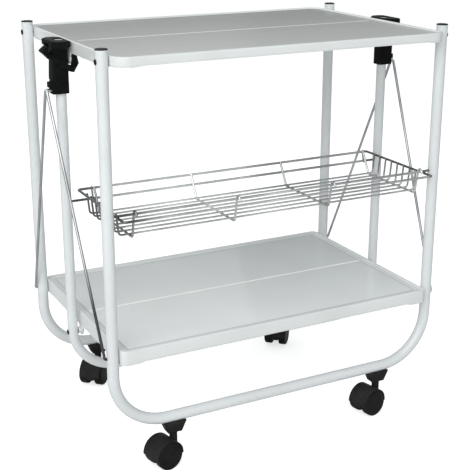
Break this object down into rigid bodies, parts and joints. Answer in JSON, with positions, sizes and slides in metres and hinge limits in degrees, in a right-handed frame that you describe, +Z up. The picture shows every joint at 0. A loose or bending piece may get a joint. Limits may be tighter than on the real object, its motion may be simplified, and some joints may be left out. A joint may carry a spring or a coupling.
{
  "type": "folding serving trolley",
  "caption": "Folding serving trolley with split trays, a wire basket, sliding side handles, wire stays, and casters on U-shaped tube frames.",
  "frame": {"origin": "on the floor, under the middle of the open trolley", "axes": "+X along the trolley's length to the right, +Y across it towards the back, +Z up"},
  "size_m": [0.712, 0.4325, 0.7294],
  "materials": {
    "white_enamel": "glossy powder coat",
    "tray_enamel": "glossy powder coat",
    "bright_wire": "polished",
    "basket_wire": "polished, darker",
    "plain_steel": "satin",
    "black_rivet": "satin",
    "black_plastic": "fine grain",
    "white_plastic": "smooth"
  },
  "bodies": {
    "front_frame": {"front_tube": "white_enamel", "front_caps": "black_plastic", "front_upper_pins": "black_rivet", "front_lower_pins": "plain_steel", "front_sockets": "black_plastic", "front_rod": "basket_wire"},
    "back_frame": {"back_tube": "white_enamel", "back_caps": "black_plastic", "back_upper_pins": "black_rivet", "back_lower_pins": "plain_steel", "back_sockets": "black_plastic"},
    "middle_frame": {"middle_tube": "white_enamel", "middle_caps": "white_plastic", "centre_pins": "black_rivet", "centre_bushes": "white_plastic", "back_rod": "basket_wire"},
    "lower_front": {"lower_front_tray": "tray_enamel"},
    "lower_back": {"lower_back_tray": "tray_enamel", "lower_hinge_plates": "white_enamel", "lower_plate_rivets": "plain_steel"},
    "upper_front": {"upper_front_tray": "tray_enamel", "upper_centre_pins": "plain_steel"},
    "upper_back": {"upper_back_tray": "tray_enamel", "upper_hinge_plates": "white_enamel", "upper_plate_rivets": "plain_steel"},
    "basket": {"basket_rim": "basket_wire", "basket_long_wires": "basket_wire", "basket_cross_wires": "basket_wire", "basket_hangers": "basket_wire"},
    "left_handle": {"left_slider": "black_plastic"},
    "left_latch": {"left_latch": "black_plastic"},
    "left_front_stay": {"left_front_stay": "bright_wire"},
    "left_back_stay": {"left_back_stay": "bright_wire"},
    "right_handle": {"right_slider": "black_plastic"},
    "right_latch": {"right_latch": "black_plastic"},
    "right_front_stay": {"right_front_stay": "bright_wire"},
    "right_back_stay": {"right_back_stay": "bright_wire"},
    "front_left_caster": {"front_left_hood": "black_plastic", "front_left_stem": "plain_steel", "front_left_axle": "plain_steel"},
    "front_left_roller": {"front_left_wheels": "black_plastic"},
    "front_right_caster": {"front_right_hood": "black_plastic", "front_right_stem": "plain_steel", "front_right_axle": "plain_steel"},
    "front_right_roller": {"front_right_wheels": "black_plastic"},
    "back_left_caster": {"back_left_hood": "black_plastic", "back_left_stem": "plain_steel", "back_left_axle": "plain_steel"},
    "back_left_roller": {"back_left_wheels": "black_plastic"},
    "back_right_caster": {"back_right_hood": "black_plastic", "back_right_stem": "plain_steel", "back_right_axle": "plain_steel"},
    "back_right_roller": {"back_right_wheels": "black_plastic"}
  },
  "joints": [
    {"name": "fold", "type": "hinge", "parent": "front_frame", "child": "lower_front", "pos_m": [0, -0.184, 0.2208], "axis": [1, 0, 0], "range_deg": [0, 79.65]},
    {"name": "middle_upright", "type": "hinge", "parent": "lower_front", "child": "middle_frame", "pos_m": [0, 0, 0.1985], "axis": [-1, 0, 0], "range_deg": [0, 79.66]},
    {"name": "lower_back_fold", "type": "hinge", "parent": "middle_frame", "child": "lower_back", "pos_m": [0, 0, 0.1985], "axis": [-1, 0, 0], "range_deg": [0, 79.66]},
    {"name": "back_upright", "type": "hinge", "parent": "lower_back", "child": "back_frame", "pos_m": [0, 0.184, 0.2208], "axis": [1, 0, 0], "range_deg": [0, 79.66]},
    {"name": "upper_front_fold", "type": "hinge", "parent": "front_frame", "child": "upper_front", "pos_m": [0, -0.184, 0.7098], "axis": [1, 0, 0], "range_deg": [0, 79.66]},
    {"name": "upper_back_fold", "type": "hinge", "parent": "back_frame", "child": "upper_back", "pos_m": [0, 0.184, 0.7098], "axis": [-1, 0, 0], "range_deg": [0, 79.66]},
    {"name": "basket_fold", "type": "hinge", "parent": "front_frame", "child": "basket", "pos_m": [0, -0.184, 0.4633], "axis": [1, 0, 0], "range_deg": [0, 79.66]},
    {"name": "left_handle_slide", "type": "slide", "parent": "middle_frame", "child": "left_handle", "axis": [0, 0, -1], "range_m": [0, 0.16484]},
    {"name": "left_latch_tilt", "type": "hinge", "parent": "left_handle", "child": "left_latch", "pos_m": [-0.3246, 0, 0.681], "axis": [0, 1, 0], "range_deg": [0, 8], "stiffness_Nm_per_rad": 0.2, "springref_deg": -11.46},
    {"name": "left_front_stay_swing", "type": "hinge", "parent": "left_handle", "child": "left_front_stay", "pos_m": [-0.3415, -0.0033, 0.6372], "axis": [1, 0, 0], "range_deg": [0, 16.93]},
    {"name": "left_back_stay_swing", "type": "hinge", "parent": "left_handle", "child": "left_back_stay", "pos_m": [-0.3415, 0.0033, 0.6372], "axis": [-1, 0, 0], "range_deg": [0, 16.93]},
    {"name": "right_handle_slide", "type": "slide", "parent": "middle_frame", "child": "right_handle", "axis": [0, 0, -1], "range_m": [0, 0.16484]},
    {"name": "right_latch_tilt", "type": "hinge", "parent": "right_handle", "child": "right_latch", "pos_m": [0.3246, 0, 0.681], "axis": [0, -1, 0], "range_deg": [0, 8], "stiffness_Nm_per_rad": 0.2, "springref_deg": -11.46},
    {"name": "right_front_stay_swing", "type": "hinge", "parent": "right_handle", "child": "right_front_stay", "pos_m": [0.3415, -0.0033, 0.6372], "axis": [1, 0, 0], "range_deg": [0, 16.93]},
    {"name": "right_back_stay_swing", "type": "hinge", "parent": "right_handle", "child": "right_back_stay", "pos_m": [0.3415, 0.0033, 0.6372], "axis": [-1, 0, 0], "range_deg": [0, 16.93]},
    {"name": "front_left_swivel", "type": "hinge", "parent": "front_frame", "child": "front_left_caster", "pos_m": [-0.213, -0.184, 0.06], "axis": [0, 0, 1], "continuous": true},
    {"name": "front_left_roll", "type": "hinge", "parent": "front_left_caster", "child": "front_left_roller", "pos_m": [-0.23444, -0.18895, 0.025], "axis": [-0.225, 0.9744, 0], "continuous": true},
    {"name": "front_right_swivel", "type": "hinge", "parent": "front_frame", "child": "front_right_caster", "pos_m": [0.213, -0.184, 0.06], "axis": [0, 0, 1], "continuous": true},
    {"name": "front_right_roll", "type": "hinge", "parent": "front_right_caster", "child": "front_right_roller", "pos_m": [0.19156, -0.18895, 0.025], "axis": [-0.225, 0.9744, 0], "continuous": true},
    {"name": "back_left_swivel", "type": "hinge", "parent": "back_frame", "child": "back_left_caster", "pos_m": [-0.213, 0.184, 0.06], "axis": [0, 0, 1], "continuous": true},
    {"name": "back_left_roll", "type": "hinge", "parent": "back_left_caster", "child": "back_left_roller", "pos_m": [-0.228, 0.16791, 0.025], "axis": [-0.7314, 0.682, 0], "continuous": true},
    {"name": "back_right_swivel", "type": "hinge", "parent": "back_frame", "child": "back_right_caster", "pos_m": [0.213, 0.184, 0.06], "axis": [0, 0, 1], "continuous": true},
    {"name": "back_right_roll", "type": "hinge", "parent": "back_right_caster", "child": "back_right_roller", "pos_m": [0.198, 0.16791, 0.025], "axis": [-0.7314, 0.682, 0], "continuous": true}
  ],
  "couplings": [
    {"joint": "middle_upright", "follows": "fold", "ratio": 1},
    {"joint": "lower_back_fold", "follows": "fold", "ratio": 1},
    {"joint": "back_upright", "follows": "fold", "ratio": 1},
    {"joint": "upper_front_fold", "follows": "fold", "ratio": 1},
    {"joint": "upper_back_fold", "follows": "fold", "ratio": 1},
    {"joint": "basket_fold", "follows": "fold", "ratio": 1},
    {"joint": "left_handle_slide", "follows": "fold", "m_per_rad": 0.1185},
    {"joint": "left_front_stay_swing", "follows": "fold", "ratio": 0.21243},
    {"joint": "left_back_stay_swing", "follows": "fold", "ratio": 0.21243},
    {"joint": "right_handle_slide", "follows": "fold", "m_per_rad": 0.1185},
    {"joint": "right_front_stay_swing", "follows": "fold", "ratio": 0.21243},
    {"joint": "right_back_stay_swing", "follows": "fold", "ratio": 0.21243}
  ]
}
